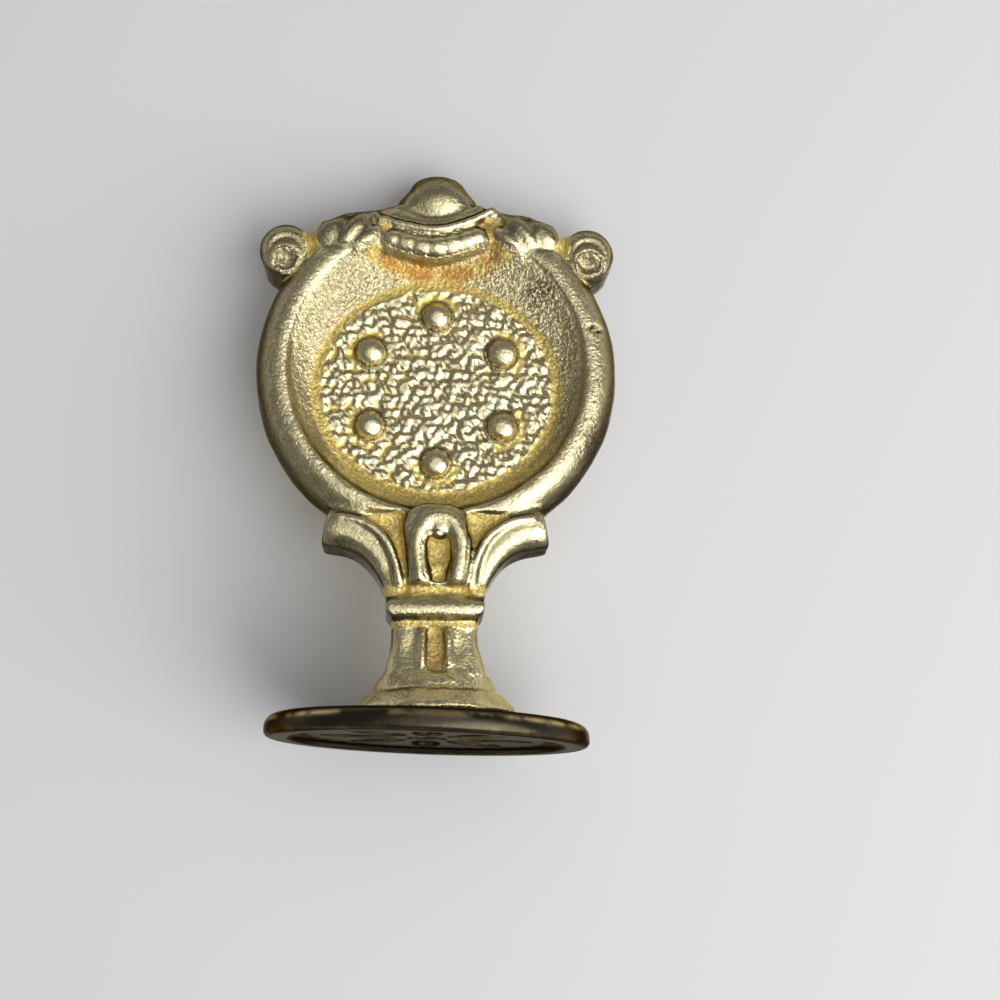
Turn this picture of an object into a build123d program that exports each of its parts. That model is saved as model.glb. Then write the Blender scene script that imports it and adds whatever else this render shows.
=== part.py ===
from build123d import *

import os
from math import atan2, cos, degrees, hypot, radians, sin

# Wax seal stamp: an ornate cast handle hard-soldered to an engraved seal disc.
# It stands on its engraved face, with the origin at that face's centre. Z runs up the
# handle, X runs across the medallion, and the front of the medallion faces -Y.
# All sizes are in millimetres and all angles in degrees.

# Seal disc
DISC_DIAMETER = 19.0
DISC_THICKNESS = 1.35
DISC_TOP_ROUND = 0.75
DISC_LOWER_ROUND = 0.35

# Engraved face: a flat border round a sunk ground, with a rosette cut into the ground
FACE_BORDER_WIDTH = 1.1
FACE_GROUND_DEPTH = 0.3
ROSETTE_PETALS = 8
ROSETTE_MARGIN = 1.9
ROSETTE_PETAL_LENGTH = 4.2
ROSETTE_PETAL_WIDTH = 1.7
ROSETTE_DEPTH = 0.35
ROSETTE_EYE_RADIUS = 1.1
BORDER_PITS = 32
BORDER_PIT_RADIUS = 0.3
BORDER_PIT_INSET = 0.85
BORDER_PIT_DEPTH = 0.2

# Solder joint: the handle stands a little off centre and out of square on the disc
HANDLE_SHIFT = 0.35
HANDLE_LEAN = 1.9
SOLDER_FILM = 0.08
SOLDER_FILLET = 0.3
SOLDER_HOLLOW_RADIUS = 0.9

# Foot: a low bell with an upright edge
FOOT_RADIUS = 4.85
FOOT_EDGE_HEIGHT = 0.4
FOOT_HEIGHT = 2.35
FOOT_NECK_RADIUS = 3.3
FOOT_HOLLOW = 0.08

# Stem: a square shaft that spreads towards the foot, with an arched panel front and back
STEM_HEIGHT = 3.2
STEM_FLARE_HEIGHT = 1.7
STEM_BASE_WIDTH = 6.3
STEM_WIDTH = 5.1
STEM_DEPTH = 4.9
STEM_CORNER = 0.75
STEM_WAIST_SHARE = 0.1
STEM_PANEL_WIDTH = 1.0
STEM_PANEL_HEIGHT = 2.5
STEM_PANEL_BORDER = 0.5
STEM_PANEL_DEPTH = 0.45
STEM_PANEL_PROUD = 0.2
STEM_PANEL_SLOPE = 11.0

# Collar: a rounded square band between the stem and the calyx
COLLAR_WIDTH = 5.9
COLLAR_DEPTH = 5.7
COLLAR_HEIGHT = 1.25
COLLAR_CORNER = 0.9
COLLAR_ROUND = 0.5

# Calyx leaves: midline points (across, up from the collar) and half sizes at each point
LEAF_MIDLINE = ((2.4, -0.3), (2.5, 0.5), (2.85, 1.6), (3.65, 2.95), (5.05, 3.95), (6.5, 4.3))
LEAF_HALF_WIDTHS = (0.5, 0.55, 0.7, 0.95, 1.2, 1.28)
LEAF_HALF_DEPTHS = (2.3, 2.35, 2.45, 2.55, 2.6, 2.35)
LEAF_EDGE_SHARE = 0.9
CALYX_CORE_HALF_DEPTH = 1.95
CALYX_CORE_HEAD = 1.0

# Calyx tongue: an arch between the leaves, with a sunk panel
TONGUE_HEIGHT = 5.45
TONGUE_HALF_DEPTH = 3.0
TONGUE_TOP_WIDTH = 4.3
TONGUE_FOOT_WIDTH = 3.0
TONGUE_SHOULDER = 1.6
TONGUE_ROUND = 0.45
TONGUE_PANEL_WIDTH = 1.7
TONGUE_PANEL_SILL = 0.75
TONGUE_PANEL_HEAD = 1.75
TONGUE_PANEL_DEPTH = 0.8

# Medallion: a bead rim round a dished field, the same on both faces
MEDALLION_RADIUS = 10.95
MEDALLION_LIFT = 2.95
RIM_WIDTH = 1.75
RIM_HALF_DEPTH = 2.6
RIDGE_FLAT = 0.2
CAVETTO_SIDE = 1.75
CAVETTO_TOP = 3.75
CAVETTO_FOOT = 1.25
CAVETTO_KNEE_RUN = 0.5
CAVETTO_KNEE_FALL = 0.78
FIELD_DEPTH = 1.4

# Pellets: a ring of round studs, each in its own moat
PELLETS = 6
PELLET_RING_RADIUS = 4.55
PELLET_RADIUS = 0.98
MOAT_RADIUS = 1.2
MOAT_HALF_WIDTH = 0.32

# Beds cut back into the rim, where the crest and the calyx lie over it
CREST_BED_HALF_DEPTH = 1.75
CREST_BED_RISE = 6.9
CREST_BED_HALF_WIDTH = 7.0
CALYX_BED_DROP = 9.0

# Volutes: scroll ends where the rim turns out beside the crest
VOLUTE_ANGLE = 38.9
VOLUTE_REACH = 0.8
VOLUTE_RADIUS = 1.68
VOLUTE_HALF_DEPTH = 2.3
VOLUTE_ROUND = 1.15
VOLUTE_EYE_RADIUS = 1.05
VOLUTE_EYE_DROP = 0.35
VOLUTE_EYE_DEPTH = 0.75

# Crest: a knob over a hanging ribbon, with a fluted shell below it
KNOB_HALF_WIDTH = 2.65
KNOB_HALF_HEIGHT = 2.15
KNOB_SINK = 0.35
RIBBON_HALF_SPAN = 3.6
RIBBON_END_INSET = 1.2
RIBBON_SAG = 1.7
RIBBON_RADIUS = 0.42
RIBBON_STAND = 1.95
SHELL_PIVOT_RISE = 1.4
SHELL_RADIUS = 5.95
SHELL_FLUTES = 6
SHELL_FLUTE_PITCH = 10.9
SHELL_FLUTE_LENGTH = 1.35
SHELL_ROOT_RADIUS = 0.45
SHELL_TIP_RADIUS = 0.62
SHELL_STAND = 2.1

# Crest leaves: each finger's root inset and angle, tip inset and angle, radius and stand
LEAF_FINGERS = (
    (0.73, 70.0, -0.5, 51.4, 0.72, 1.25),
    (0.9, 69.0, 0.32, 52.6, 0.75, 1.75),
    (1.2, 67.5, 1.4, 57.8, 0.6, 2.05),
)
FINGER_ROOT_SHARE = 0.7

# Crest web: the sunk ground under the leaves, spread past the rim towards the volutes
WEB_SPREAD = 1.55
WEB_SINK = 0.25
WEB_HALF_DEPTH = 0.95

# Depth that joined forms run into each other, and that cutters run past a face
OVERLAP = 0.3
CUT_PAST = 3.0
# Largest part of a width that a rounding may take from each side
ROUND_LIMIT = 0.49

# Heights up the handle from the foot's lower face, and radii that follow from the rim
COLLAR_Z = FOOT_HEIGHT + STEM_HEIGHT
CALYX_Z = COLLAR_Z + COLLAR_HEIGHT
MEDALLION_Z = CALYX_Z + MEDALLION_LIFT + MEDALLION_RADIUS
RIDGE_RADIUS = MEDALLION_RADIUS - RIM_WIDTH
DISH_RADIUS = RIDGE_RADIUS - RIDGE_FLAT
FIELD_HALF_DEPTH = RIM_HALF_DEPTH - FIELD_DEPTH


def ring_point(inset, angle):
    """A point across and up from the medallion's centre, set in from the edge."""
    reach = MEDALLION_RADIUS - inset
    return reach * cos(radians(angle)), reach * sin(radians(angle))


def finger(length, root_radius, tip_radius):
    """A tapered lobe with round ends, lying along +X from the origin."""
    with BuildPart() as lobe:
        with BuildSketch():
            with BuildLine():
                root = RadiusArc((-root_radius, 0), (0, root_radius), root_radius)
                side = Line(root @ 1, (length - tip_radius, tip_radius))
                tip = RadiusArc(side @ 1, (length, 0), tip_radius)
                Line(tip @ 1, root @ 0)
            make_face()
        revolve(axis=Axis.X)
    return lobe.part


# Seal disc, with the border, ground and rosette cut into its lower face
FACE_RADIUS = DISC_DIAMETER / 2 - DISC_LOWER_ROUND
GROUND_RADIUS = FACE_RADIUS - FACE_BORDER_WIDTH
PETAL_CENTRE = GROUND_RADIUS - ROSETTE_MARGIN - ROSETTE_PETAL_LENGTH / 2
with BuildPart() as seal_disc:
    with BuildSketch():
        Circle(DISC_DIAMETER / 2)
    extrude(amount=DISC_THICKNESS)
    fillet(seal_disc.edges().group_by(Axis.Z)[-1], DISC_TOP_ROUND)
    fillet(seal_disc.edges().group_by(Axis.Z)[0], DISC_LOWER_ROUND)
    with BuildSketch():
        Circle(GROUND_RADIUS)
    extrude(amount=FACE_GROUND_DEPTH, mode=Mode.SUBTRACT)
    with BuildSketch(Plane.XY.offset(FACE_GROUND_DEPTH)):
        with PolarLocations(PETAL_CENTRE, ROSETTE_PETALS):
            Ellipse(ROSETTE_PETAL_LENGTH / 2, ROSETTE_PETAL_WIDTH / 2)
        Circle(ROSETTE_EYE_RADIUS)
    extrude(amount=ROSETTE_DEPTH, mode=Mode.SUBTRACT)
    with BuildSketch(Plane.XY.offset(FACE_GROUND_DEPTH)):
        with PolarLocations(GROUND_RADIUS - BORDER_PIT_INSET, BORDER_PITS):
            Circle(BORDER_PIT_RADIUS)
    extrude(amount=BORDER_PIT_DEPTH, mode=Mode.SUBTRACT)

# Foot and stem of the casting, upright from the foot's lower face
with BuildPart() as pedestal:
    with BuildSketch(Plane.XZ):
        with BuildLine():
            edge = Polyline((0, 0), (FOOT_RADIUS, 0), (FOOT_RADIUS, FOOT_EDGE_HEIGHT))
            bell_radius = (FOOT_RADIUS + FOOT_NECK_RADIUS) / 2 - FOOT_HOLLOW
            bell_height = (FOOT_EDGE_HEIGHT + FOOT_HEIGHT) / 2 - FOOT_HOLLOW
            bell = ThreePointArc(edge @ 1, (bell_radius, bell_height), (FOOT_NECK_RADIUS, FOOT_HEIGHT))
            Polyline(bell @ 1, (0, FOOT_HEIGHT), (0, 0))
        make_face()
    revolve(axis=Axis.Z)
    flare = STEM_BASE_WIDTH - STEM_WIDTH
    for height, spread in (
        (FOOT_HEIGHT - OVERLAP, flare),
        (FOOT_HEIGHT + STEM_FLARE_HEIGHT, flare * STEM_WAIST_SHARE),
        (COLLAR_Z + OVERLAP, 0),
    ):
        with BuildSketch(Plane.XY.offset(height)):
            RectangleRounded(STEM_WIDTH + spread, STEM_DEPTH + spread, STEM_CORNER + spread / 2)
    loft()
    slope = radians(STEM_PANEL_SLOPE)
    for facing in (-1, 1):
        panel = Plane(
            origin=(0, facing * STEM_DEPTH / 2, COLLAR_Z),
            x_dir=(-facing, 0, 0),
            z_dir=(0, facing * cos(slope), sin(slope)),
        )
        border_width = STEM_PANEL_WIDTH + 2 * STEM_PANEL_BORDER
        with BuildSketch(panel.offset(-STEM_PANEL_DEPTH)):
            Rectangle(border_width, STEM_PANEL_HEIGHT + STEM_PANEL_BORDER, align=(Align.CENTER, Align.MAX))
            fillet(vertices().group_by(Axis.Y)[-1], border_width * ROUND_LIMIT)
        extrude(amount=STEM_PANEL_DEPTH + STEM_PANEL_PROUD)
        with BuildSketch(panel.offset(-STEM_PANEL_DEPTH)):
            with Locations((0, -STEM_PANEL_BORDER)):
                Rectangle(STEM_PANEL_WIDTH, STEM_PANEL_HEIGHT, align=(Align.CENTER, Align.MAX))
            fillet(vertices().group_by(Axis.Y)[-1], STEM_PANEL_WIDTH * ROUND_LIMIT)
        extrude(amount=CUT_PAST, mode=Mode.SUBTRACT)

# Collar, rounded above and below
with BuildPart() as collar:
    with BuildSketch(Plane.XY.offset(COLLAR_Z)):
        RectangleRounded(COLLAR_WIDTH, COLLAR_DEPTH, COLLAR_CORNER)
    extrude(amount=COLLAR_HEIGHT)
    collar_rims = collar.edges().group_by(Axis.Z)
    fillet(collar_rims[0] + collar_rims[-1], min(COLLAR_ROUND, COLLAR_HEIGHT * ROUND_LIMIT))

# Calyx leaves and the core behind them, up from the top of the collar
with BuildPart() as calyx:
    ends = (LEAF_MIDLINE[0], *LEAF_MIDLINE, LEAF_MIDLINE[-1])
    for side in (-1, 1):
        for before, here, after, half_width, half_depth in zip(
            ends, LEAF_MIDLINE, ends[2:], LEAF_HALF_WIDTHS, LEAF_HALF_DEPTHS
        ):
            run = (side * (after[0] - before[0]), 0, after[1] - before[1])
            section = Plane(origin=(side * here[0], 0, here[1]), x_dir=(0, 1, 0), z_dir=run)
            with BuildSketch(section):
                RectangleRounded(2 * half_depth, 2 * half_width, LEAF_EDGE_SHARE * half_width)
        loft()
    tip_x, tip_z = LEAF_MIDLINE[-1]
    head_z = tip_z + CALYX_CORE_HEAD
    with BuildSketch(Plane.XZ):
        with BuildLine():
            Polyline(
                *LEAF_MIDLINE,
                (tip_x - CALYX_CORE_HEAD, head_z),
                (0, head_z),
                (0, LEAF_MIDLINE[0][1]),
                close=True,
            )
        make_face()
        mirror(about=Plane.YZ)
    extrude(amount=CALYX_CORE_HALF_DEPTH, both=True)

# Calyx tongue, up from the top of the collar
with BuildPart() as tongue:
    with BuildSketch(Plane.XZ):
        with BuildLine():
            Polyline(
                (-TONGUE_FOOT_WIDTH / 2, -OVERLAP),
                (TONGUE_FOOT_WIDTH / 2, -OVERLAP),
                (TONGUE_TOP_WIDTH / 2, TONGUE_HEIGHT),
                (-TONGUE_TOP_WIDTH / 2, TONGUE_HEIGHT),
                close=True,
            )
        make_face()
        fillet(vertices().group_by(Axis.Y)[-1], min(TONGUE_SHOULDER, TONGUE_FOOT_WIDTH * ROUND_LIMIT))
    extrude(amount=TONGUE_HALF_DEPTH, both=True)
    fronts = tongue.faces().sort_by(Axis.Y)
    fillet(fronts[0].edges() + fronts[-1].edges(), TONGUE_ROUND)
    for facing in (-1, 1):
        with BuildSketch(Plane.XZ.offset(-facing * (TONGUE_HALF_DEPTH - TONGUE_PANEL_DEPTH))):
            with Locations((0, TONGUE_PANEL_SILL)):
                Rectangle(
                    TONGUE_PANEL_WIDTH,
                    TONGUE_HEIGHT - TONGUE_PANEL_SILL - TONGUE_PANEL_HEAD,
                    align=(Align.CENTER, Align.MIN),
                )
            fillet(vertices().group_by(Axis.Y)[-1], TONGUE_PANEL_WIDTH * ROUND_LIMIT)
        extrude(amount=-facing * CUT_PAST, mode=Mode.SUBTRACT)

# Medallion about its own centre: rim, dish, beds and pellets
FIELD_DROP = (CAVETTO_TOP - CAVETTO_FOOT) / 2
with BuildPart() as medallion:
    with BuildSketch():
        with BuildLine():
            bead = EllipticalCenterArc((RIDGE_RADIUS, 0), RIM_WIDTH, RIM_HALF_DEPTH, -90, arc_size=180)
            Polyline(bead @ 1, (0, RIM_HALF_DEPTH), (0, -RIM_HALF_DEPTH), bead @ 0)
        make_face()
    revolve(axis=Axis.Y)
    for facing in (-1, 1):
        for run, fall in ((0, 0), (CAVETTO_KNEE_RUN, CAVETTO_KNEE_FALL), (1, 1)):
            half_width = DISH_RADIUS - run * CAVETTO_SIDE
            half_height = DISH_RADIUS - run * (CAVETTO_TOP + CAVETTO_FOOT) / 2
            with BuildSketch(Plane.XZ.offset(-facing * (RIM_HALF_DEPTH - fall * FIELD_DEPTH))):
                with Locations((0, -run * FIELD_DROP)):
                    Ellipse(half_width, half_height)
        loft(mode=Mode.SUBTRACT)
        with BuildSketch(Plane.XZ.offset(-facing * CREST_BED_HALF_DEPTH)):
            with Locations((0, CREST_BED_RISE)):
                Rectangle(2 * CREST_BED_HALF_WIDTH, MEDALLION_RADIUS, align=(Align.CENTER, Align.MIN))
        extrude(amount=-facing * CUT_PAST, mode=Mode.SUBTRACT)
        with BuildSketch(Plane.XZ.offset(-facing * CALYX_CORE_HALF_DEPTH)):
            with Locations((0, -CALYX_BED_DROP)):
                Rectangle(2 * MEDALLION_RADIUS, MEDALLION_RADIUS, align=(Align.CENTER, Align.MAX))
        extrude(amount=-facing * CUT_PAST, mode=Mode.SUBTRACT)
        with Locations(Plane.XZ.offset(-facing * FIELD_HALF_DEPTH)):
            with Locations((0, -FIELD_DROP)):
                with PolarLocations(PELLET_RING_RADIUS, PELLETS, start_angle=90):
                    Torus(MOAT_RADIUS, MOAT_HALF_WIDTH, mode=Mode.SUBTRACT)
                    Sphere(PELLET_RADIUS)

# Volutes about the medallion's centre, each with a hollow eye
with BuildPart() as volutes:
    scroll_x, scroll_z = ring_point(-VOLUTE_REACH, VOLUTE_ANGLE)
    with BuildSketch(Plane.XZ):
        with Locations((-scroll_x, scroll_z), (scroll_x, scroll_z)):
            Circle(VOLUTE_RADIUS)
    extrude(amount=VOLUTE_HALF_DEPTH, both=True)
    round_limit = min(VOLUTE_RADIUS, VOLUTE_HALF_DEPTH) * 2 * ROUND_LIMIT
    fillet(volutes.edges().filter_by(GeomType.CIRCLE), min(VOLUTE_ROUND, round_limit))
    eye_y = VOLUTE_HALF_DEPTH + VOLUTE_EYE_RADIUS - VOLUTE_EYE_DEPTH
    with GridLocations(2 * scroll_x, 2 * eye_y, 2, 2):
        with Locations((0, 0, scroll_z - VOLUTE_EYE_DROP)):
            Sphere(VOLUTE_EYE_RADIUS, mode=Mode.SUBTRACT)

# Crest about the medallion's centre: ribbon, shell and leaves in front, then their mirror image behind
shell_flute = finger(SHELL_FLUTE_LENGTH, SHELL_ROOT_RADIUS, SHELL_TIP_RADIUS)
shell_reach = SHELL_RADIUS - SHELL_FLUTE_LENGTH
shell_pivot = MEDALLION_RADIUS + SHELL_PIVOT_RISE
leaf_fingers = []
for root_inset, root_angle, tip_inset, tip_angle, radius, stand in LEAF_FINGERS:
    root_x, root_z = ring_point(root_inset, root_angle)
    tip_x, tip_z = ring_point(tip_inset, tip_angle)
    lobe = finger(hypot(tip_x - root_x, tip_z - root_z), radius * FINGER_ROOT_SHARE, radius)
    for side in (-1, 1):
        turn = degrees(atan2(tip_z - root_z, side * (tip_x - root_x)))
        leaf_fingers.append((lobe, Location((side * root_x, -stand, root_z), (0, -turn, 0))))

with BuildPart() as crest:
    with BuildSketch(Plane.XZ):
        Ellipse(MEDALLION_RADIUS + WEB_SPREAD, MEDALLION_RADIUS - WEB_SINK)
        with Locations((0, CREST_BED_RISE)):
            Rectangle(
                2 * (MEDALLION_RADIUS + WEB_SPREAD),
                MEDALLION_RADIUS,
                align=(Align.CENTER, Align.MIN),
                mode=Mode.INTERSECT,
            )
    extrude(amount=WEB_HALF_DEPTH, both=True)
    ribbon_end_z = MEDALLION_RADIUS - RIBBON_END_INSET
    with BuildLine(Plane.XZ.offset(RIBBON_STAND)) as hang:
        ThreePointArc(
            (-RIBBON_HALF_SPAN, ribbon_end_z),
            (0, ribbon_end_z - RIBBON_SAG),
            (RIBBON_HALF_SPAN, ribbon_end_z),
        )
    with BuildSketch(Plane(origin=hang.line @ 0, z_dir=hang.line % 0)):
        Circle(RIBBON_RADIUS)
    sweep()
    for flute in range(SHELL_FLUTES):
        swing = (flute - (SHELL_FLUTES - 1) / 2) * SHELL_FLUTE_PITCH
        root_x = shell_reach * sin(radians(swing))
        root_z = shell_pivot - shell_reach * cos(radians(swing))
        with Locations(Location((root_x, -SHELL_STAND, root_z), (0, 90 - swing, 0))):
            add(shell_flute)
    for lobe, place in leaf_fingers:
        with Locations(place):
            add(lobe)
    mirror(about=Plane.XZ)

# Knob about its own centre, a ball drawn out sideways
with BuildPart() as knob:
    with BuildSketch(Plane.XZ):
        Ellipse(KNOB_HALF_WIDTH, KNOB_HALF_HEIGHT)
        split(bisect_by=Plane.XZ)
    revolve(axis=Axis.X)

# The casting's lower half on its foot, its upper half about the medallion's centre, and the two as one
with BuildPart() as support:
    add(pedestal.part)
    add(collar.part)
    with Locations((0, 0, CALYX_Z)):
        add(calyx.part)
        add(tongue.part)
with BuildPart() as head:
    add(medallion.part)
    add(volutes.part)
    add(crest.part)
    with Locations((0, 0, MEDALLION_RADIUS - KNOB_SINK)):
        add(knob.part)
with BuildPart() as upright:
    add(support.part)
    with Locations((0, 0, MEDALLION_Z)):
        add(head.part)

# The casting in its place: shifted and leaning on the disc, its lowest edge a film of solder above it
FOOT_DIP = FOOT_RADIUS * sin(radians(HANDLE_LEAN))
SEAT = Location((HANDLE_SHIFT, 0, DISC_THICKNESS + SOLDER_FILM + FOOT_DIP), (0, -HANDLE_LEAN, 0))
with BuildPart() as handle_casting:
    with Locations(SEAT):
        add(upright.part)

# Solder: a wedge under the leaning foot and a hollow fillet round it
solder_height = SOLDER_FILM + 2 * FOOT_DIP + FOOT_EDGE_HEIGHT / 2
with BuildPart() as solder_blank:
    with BuildSketch(Plane.XZ):
        with BuildLine():
            toe = Line((0, DISC_THICKNESS), (FOOT_RADIUS + SOLDER_FILLET, DISC_THICKNESS))
            crown = (FOOT_RADIUS - OVERLAP, DISC_THICKNESS + solder_height)
            hollow = RadiusArc(toe @ 1, crown, -SOLDER_HOLLOW_RADIUS)
            Polyline(hollow @ 1, (0, DISC_THICKNESS + solder_height), (0, DISC_THICKNESS))
        make_face()
    revolve(axis=Axis.Z)
with BuildPart() as foot_solder:
    with Locations((HANDLE_SHIFT, 0, 0)):
        add(solder_blank.part)
    add(handle_casting.part, mode=Mode.SUBTRACT)

os.makedirs("parts", exist_ok=True)
handle_casting.part.label = "handle_casting"
seal_disc.part.label = "seal_disc"
foot_solder.part.label = "foot_solder"
export_step(handle_casting.part, "parts/handle_casting.step")
export_step(seal_disc.part, "parts/seal_disc.step")
export_step(foot_solder.part, "parts/foot_solder.step")
print("casting", handle_casting.part.bounding_box())
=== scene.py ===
# %% [markdown]
# # A small brass wax seal
# The seal is three pieces: an ornate handle cast in brass, a turned bronze disc with a pattern
# engraved in its lower face, and the thin joint of hard solder that holds the two together.
# The measured solids come first, as a fixed frame. Every piece below is dressed over its solid
# and stays in the same place, in metres.

import math
import random

import bmesh
import bpy
import numpy as np
from mathutils import Matrix, Vector, geometry, noise


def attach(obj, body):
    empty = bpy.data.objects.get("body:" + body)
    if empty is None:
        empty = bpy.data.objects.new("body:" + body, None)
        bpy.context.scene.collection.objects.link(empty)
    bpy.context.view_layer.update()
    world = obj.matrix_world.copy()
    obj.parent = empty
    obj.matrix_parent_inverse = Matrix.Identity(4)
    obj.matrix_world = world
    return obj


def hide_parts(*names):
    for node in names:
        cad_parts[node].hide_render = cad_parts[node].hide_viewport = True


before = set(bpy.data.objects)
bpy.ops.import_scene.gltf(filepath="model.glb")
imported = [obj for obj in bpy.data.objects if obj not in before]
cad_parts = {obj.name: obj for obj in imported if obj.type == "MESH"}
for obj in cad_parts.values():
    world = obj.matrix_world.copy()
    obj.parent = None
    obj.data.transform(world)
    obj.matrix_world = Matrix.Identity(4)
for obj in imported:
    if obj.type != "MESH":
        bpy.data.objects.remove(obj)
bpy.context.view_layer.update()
MM = 0.001

# %% [markdown]
# ## The handle's own upright
# The handle was soldered on a little off centre and out of square, so its ornament is easiest to
# find in a frame of its own: upright, with its foot at zero. One matrix turns that frame into the
# seal's, and its inverse brings points back.

# %% Where the handle stands
HANDLE_SHIFT = 0.35 * MM
HANDLE_LEAN = math.radians(1.9)
HANDLE_SEAT = 1.591 * MM

lean = Matrix.Rotation(-HANDLE_LEAN, 4, "Y")
handle_upright = Matrix.Translation((HANDLE_SHIFT, 0, HANDLE_SEAT)) @ lean
from_upright = np.array(handle_upright)
to_upright = np.array(handle_upright.inverted())
print("handle leans", round(math.degrees(HANDLE_LEAN), 2), "degrees")

# %% [markdown]
# ## Copying a solid
# Each piece starts as a copy of its solid, so that it fits exactly. The frame stores a mesh as loose
# triangles, and joining points that share a place makes a closed skin of them.

# %% Copy a solid's mesh
SAME_PLACE = 0.001 * MM


def merged_copy(node_name, piece_name):
    """A new object with a copy of the solid's mesh, its loose triangles joined up."""
    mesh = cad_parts[node_name].data.copy()
    mesh.materials.clear()
    net = bmesh.new()
    net.from_mesh(mesh)
    bmesh.ops.remove_doubles(net, verts=net.verts, dist=SAME_PLACE)
    net.to_mesh(mesh)
    net.free()
    piece = bpy.data.objects.new(piece_name, mesh)
    bpy.context.scene.collection.objects.link(piece)
    return piece


handle = merged_copy("handle_casting", "cast_handle")
print("handle starts with", len(handle.data.polygons), "triangles")

# %% [markdown]
# ## Cast skin
# Metal that was poured into sand has no sharp corner anywhere. Bevelling every edge of such a busy
# shape would fail somewhere, so the solid is wrapped in one even net of small squares with a voxel
# remesh. A few rounds of smoothing then melt its creases together.

# %% Wrap a piece in an even skin
HANDLE_PITCH = 0.1 * MM
CASTING_ROUNDS = 8


def triangles_in(mesh):
    return sum(len(face.vertices) - 2 for face in mesh.polygons)


def settle(piece):
    """Turns the piece's modifiers into its mesh, which it returns."""
    graph = bpy.context.evaluated_depsgraph_get()
    mesh = bpy.data.meshes.new_from_object(piece.evaluated_get(graph))
    piece.modifiers.clear()
    piece.data = mesh
    return mesh


def shade_smooth(mesh):
    mesh.polygons.foreach_set("use_smooth", [True] * len(mesh.polygons))


def cast_skin(piece, pitch, rounds):
    """Remeshes the piece in squares of that pitch and smooths it that many times."""
    wrap = piece.modifiers.new("wrap", "REMESH")
    wrap.mode = "VOXEL"
    wrap.voxel_size = pitch
    skin = settle(piece)
    net = bmesh.new()
    net.from_mesh(skin)
    for _ in range(rounds):
        bmesh.ops.smooth_vert(
            net, verts=net.verts, factor=0.5, use_axis_x=True, use_axis_y=True, use_axis_z=True
        )
    net.to_mesh(skin)
    net.free()
    shade_smooth(skin)
    print(piece.name, "has", triangles_in(skin), "triangles")


cast_skin(handle, HANDLE_PITCH, CASTING_ROUNDS)

# %% [markdown]
# ## Reading and writing the skin
# The next steps move thousands of points at once. Arrays do that quickly: one helper reads every
# point, another writes them back, and a third averages each point with its neighbours, which is
# what smoothing is.


# %% Arrays of points
def read_points(mesh):
    points = np.empty(len(mesh.vertices) * 3)
    mesh.vertices.foreach_get("co", points)
    return points.reshape(-1, 3)


def write_points(mesh, points):
    mesh.vertices.foreach_set("co", points.ravel())
    mesh.update()


def read_normals(mesh):
    normals = np.empty(len(mesh.vertices) * 3)
    mesh.vertices.foreach_get("normal", normals)
    return normals.reshape(-1, 3)


def averaged(mesh, values, rounds):
    """The values after each point moves half way to its neighbours' mean, that many times over."""
    ends = np.empty(len(mesh.edges) * 2, dtype=np.int64)
    mesh.edges.foreach_get("vertices", ends)
    first, second = ends.reshape(-1, 2).T
    count = np.bincount(ends, minlength=len(values))[:, None]
    for _ in range(rounds):
        total = np.zeros_like(values)
        for axis in range(values.shape[1]):
            total[:, axis] = np.bincount(first, values[second, axis], len(values))
            total[:, axis] += np.bincount(second, values[first, axis], len(values))
        values = values + (total / count - values) / 2
    return values


print("points on the handle:", len(read_points(handle.data)))

# %% [markdown]
# ## Measuring the skin
# The ornament is drawn on two flat faces, front and back, so each point is told by how far across and
# up the handle it is, by its face and by its height over the middle plane. Its lift and reach are taken
# from the middle of the medallion. All of it is in millimetres.

# %% Where each point is
MEDALLION_HEIGHT = 20.7


def to_mm(points):
    """The points in the handle's upright frame, in millimetres."""
    return (points @ to_upright[:3, :3].T + to_upright[:3, 3]) / MM


def from_mm(place):
    """Back from the upright frame to the seal's, in metres."""
    return (place * MM) @ from_upright[:3, :3].T + from_upright[:3, 3]


def measure(place):
    """Across, depth and up, the face (-1 in front, 1 behind), and the height, lift and reach."""
    across, depth, up = place.T
    lift = up - MEDALLION_HEIGHT
    return across, depth, up, np.sign(depth), np.abs(depth), lift, np.hypot(across, lift)


place = to_mm(read_points(handle.data))
across, depth, up, front, height, lift, reach = measure(place)
print("heights run to", round(float(height.max()), 2), "mm")

# %% [markdown]
# ## Soft limits
# A carver's tool leaves no hard limit, so the masks below rise and fall smoothly. Three small curves
# are enough: a step up, a band between two steps, and a ridge round one value.


# %% Steps, bands and ridges
def step(values, low, high):
    """0 below low, 1 above high and a smooth rise between."""
    t = np.clip((values - low) / (high - low), 0, 1)
    return t * t * (3 - 2 * t)


def band(values, low, from_here, to_here, high):
    """1 between the two inner values, falling smoothly to 0 at low and high."""
    return step(values, low, from_here) * (1 - step(values, to_here, high))


def ridge(values, middle, half_width):
    """1 at the middle value, falling smoothly to almost nothing past the half width."""
    return np.exp(-(((values - middle) / half_width) ** 2))


def between(values, low, high):
    return (values > low) & (values < high)


print("a step half way up:", step(0.5, 0, 1), "and a ridge at its half width:", round(ridge(1, 0, 1), 2))

# %% [markdown]
# ## Rolls and beans
# The carver of the pattern drew most of the ornament as rolls, round cords that bend over the ground
# and die into it, and as beans. Both faces of the handle are low relief, so a form is a height over
# the middle plane: each point takes the highest of the forms above it. A knot of a curve says how far
# across it is, from what level the roll rises, and how far up.

# %% Heights of rolls and beans
CURVE_STEPS = 8
FAR = 99.0


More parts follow.
